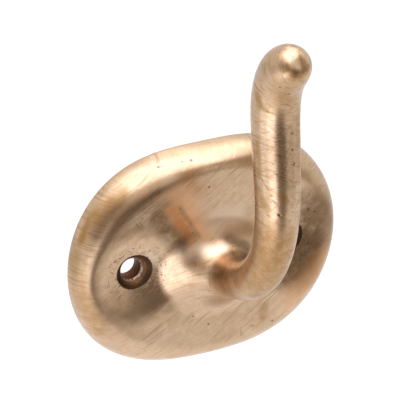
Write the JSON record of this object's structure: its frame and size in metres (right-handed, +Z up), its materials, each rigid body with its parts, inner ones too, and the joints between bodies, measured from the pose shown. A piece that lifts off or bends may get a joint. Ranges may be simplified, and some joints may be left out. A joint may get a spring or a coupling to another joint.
{
  "type": "long wall hook",
  "caption": "Cast wall hook: a thick oval plate with rounded edges, sunk screw seats either side and one round arm that bends up and curls out at its tip.",
  "frame": {"origin": "middle of the flat back, halfway between the two screw holes", "axes": "+Z up along the arm, +X to the right, +Y into the wall, so the arm stands out along -Y"},
  "size_m": [0.0736, 0.0508, 0.1003],
  "materials": {
    "brushed_bronze": "satin brushed bronze with fine scratches, small casting pits and faint brown patina"
  },
  "bodies": {
    "root": {"hook_casting": "brushed_bronze"}
  },
  "joints": []
}
